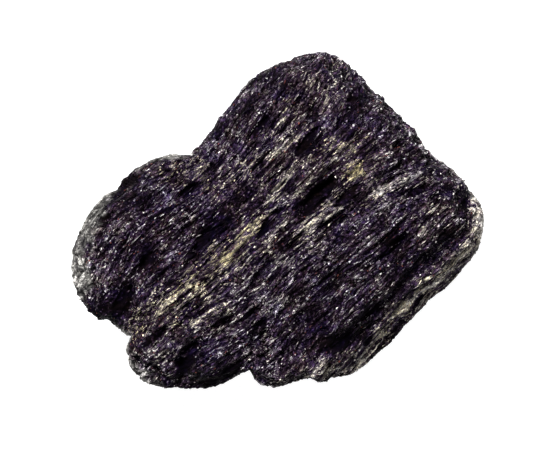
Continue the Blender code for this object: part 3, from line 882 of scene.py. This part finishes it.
def make_fibres(name, mesh, seed):
    """One piece of splinters lying on the stone, coloured one by one."""
    rng = np.random.default_rng(seed)
    count = FIBRES_A_PIECE
    spot, normal = scatter(mesh, count, rng)
    grain = rng.random(count) < GRAIN_SHARE
    flat = np.clip((normal[:, 2] - 0.35) / 0.5, 0.0, 1.0)
    x, y = frayed(spot)
    seen, worn = seen_share(normal[:, 2]), worn_share(spot)
    pale, dark = pale_share(x, y) * seen, dark_share(x, y) * seen
    combed_out = np.clip(pale, 0.0, 1.0)

    along, across, up = lay_splinters(spot, normal, grain, combed_out, flat, rng)
    length, width = size_splinters(spot, grain, combed_out, flat, rng)
    chance = (1.45 - 0.35 * pale) * rng.normal(size=count)
    streaks = light_streaks(spot, pale, dark, 1.35)
    lift = 0.02 * np.clip(0.6 * chance + 0.4 * streaks, -1.0, 2.5) * flat
    blades = splinter_shapes(length, width, grain, lift, rng)
    corners = (spot[:, None, :] + along[:, None, :] * blades[:, :, 0:1]
               + across[:, None, :] * blades[:, :, 1:2] + up[:, None, :] * blades[:, :, 2:3])

    lightness = reflectance(chance, streaks, FIBRE_MIDDLE)
    yellow = yellow_share(x, y) + rng.normal(0.0, 0.10, count)
    tint = coloured(lightness, yellow, spot, normal[:, 2])
    tint[rng.random(count) < RUSTY_SHARE] = RUST
    # the crest term in this mottle is painted light on crests and painted shade in grooves
    mottle = np.exp(1.2 * smooth_noise(spot / 1.3, 82) + rng.normal(-0.3, 0.55, count)
                    + 0.4 * crest_light_and_groove_shade(spot) + 0.5 * pale - CRACK_SHADE * crack_share(spot))
    tint += (WORN_TINT * mottle[:, None] - tint) * (worn * 0.8)[:, None]
    dull = np.clip(rng.normal(0.20, 0.05, count) + 0.3 * worn, 0.10, 0.8)

    piece, face_corners = splinter_mesh(name, (corners.reshape(-1, 3) + SHIFT) * MM)
    put_attributes(piece, np.repeat(tint, CORNERS, axis=0), np.repeat(dull, CORNERS))
    add_map(piece, cells_by_shade(tint)[face_corners])
    ob = new_object(name, piece)
    ob.data.materials.append(FIBRE)
    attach(ob, "root")


FIBRE = rock_material(
    "hornblende_fibre", 6400.0, 0.1, 2.3, 1.64, 0.03, (0.97, 0.86, 1.0, 1.0))
for number in range(FIBRE_PIECES):
    make_fibres(f"fibres_{number + 1}", stone.data, FIRST_SEED + number)


# ------------------------------------------------- stage, light and camera
FRAME_PX = (560, 471)            # size of the photograph
STONE_PX = (277.5, 220.5)        # middle of the stone in the photograph
MM_PER_PX = 0.183
MID_LEVEL = 13.0 * MM            # height at which the scale holds
DISTANCE = 0.46                  # from the camera to that height, m
SENSOR = 36.0
BACKDROP = (0.82, 0.82, 0.83, 1.0)


def make_floor():
    mesh = bpy.data.meshes.new("floor")
    work = bmesh.new()
    bmesh.ops.create_grid(work, x_segments=1, y_segments=1, size=3.0)
    work.to_mesh(mesh)
    work.free()
    floor = new_object("floor", mesh)
    material, _, shader = new_material("pale_floor")
    shader.inputs["Base Color"].default_value = (0.25, 0.25, 0.25, 1.0)
    shader.inputs["Roughness"].default_value = 0.9
    shader.inputs["Emission Color"].default_value = (1.0, 1.0, 1.0, 1.0)
    shader.inputs["Emission Strength"].default_value = 0.97
    floor.data.materials.append(material)
    return floor


def area_light(name, bearing, elevation, distance, size, power):
    """A square lamp that faces the origin: degrees, metres and watts."""
    light = bpy.data.lights.new(name, "AREA")
    light.shape = "SQUARE"
    light.size = size
    light.energy = power
    ob = new_object(name, light)
    turn, tip = math.radians(bearing), math.radians(elevation)
    way = np.array([
        math.cos(turn) * math.cos(tip), math.sin(turn) * math.cos(tip), math.sin(tip)])
    ob.location = way * distance
    ob.rotation_euler = Vector(-way).to_track_quat("-Z", "Y").to_euler()


def make_sky():
    """A dark sky that lights the stone, seen by the camera as a pale background."""
    world = bpy.data.worlds.new("studio")
    bpy.context.scene.world = world
    world.use_nodes = True
    sky = world.node_tree
    link = sky.links.new
    lit = sky.nodes["Background"]
    place = add_node(sky, "ShaderNodeTexCoord")
    split = add_node(sky, "ShaderNodeSeparateXYZ")
    ramp = add_node(sky, "ShaderNodeValToRGB")
    ramp.color_ramp.elements[0].position = 0.02
    ramp.color_ramp.elements[0].color = (0.05, 0.05, 0.055, 1.0)
    ramp.color_ramp.elements[1].position = 0.40
    ramp.color_ramp.elements[1].color = (0.008, 0.008, 0.012, 1.0)
    backdrop = add_node(sky, "ShaderNodeBackground")
    backdrop.inputs["Color"].default_value = BACKDROP
    path = add_node(sky, "ShaderNodeLightPath")
    mix = add_node(sky, "ShaderNodeMixShader")
    link(place.outputs["Generated"], split.inputs[0])
    link(split.outputs["Z"], ramp.inputs["Fac"])
    link(ramp.outputs["Color"], lit.inputs["Color"])
    link(path.outputs["Is Camera Ray"], mix.inputs["Fac"])
    link(lit.outputs[0], mix.inputs[1])
    link(backdrop.outputs[0], mix.inputs[2])
    link(mix.outputs[0], sky.nodes["World Output"].inputs["Surface"])


def make_camera():
    """A camera straight above, framed as the photograph is."""
    data = bpy.data.cameras.new("camera")
    data.sensor_width = SENSOR
    view_width = FRAME_PX[0] * MM_PER_PX * MM
    data.lens = SENSOR * DISTANCE / view_width
    data.clip_start = 0.01
    data.clip_end = 20.0
    camera = new_object("camera", data)
    camera.location = (
        (FRAME_PX[0] / 2 - STONE_PX[0]) * MM_PER_PX * MM,
        -(FRAME_PX[1] / 2 - STONE_PX[1]) * MM_PER_PX * MM,
        MID_LEVEL + DISTANCE)
    bpy.context.scene.camera = camera


floor = make_floor()
area_light("key", 126, 54, 0.7, 0.16, 16.0)
area_light("fill", 325, 14, 1.0, 0.8, 5.0)
area_light("back", 60, 60, 0.8, 0.3, 0.5)
make_sky()
make_camera()
bpy.context.scene.view_settings.view_transform = "Standard"
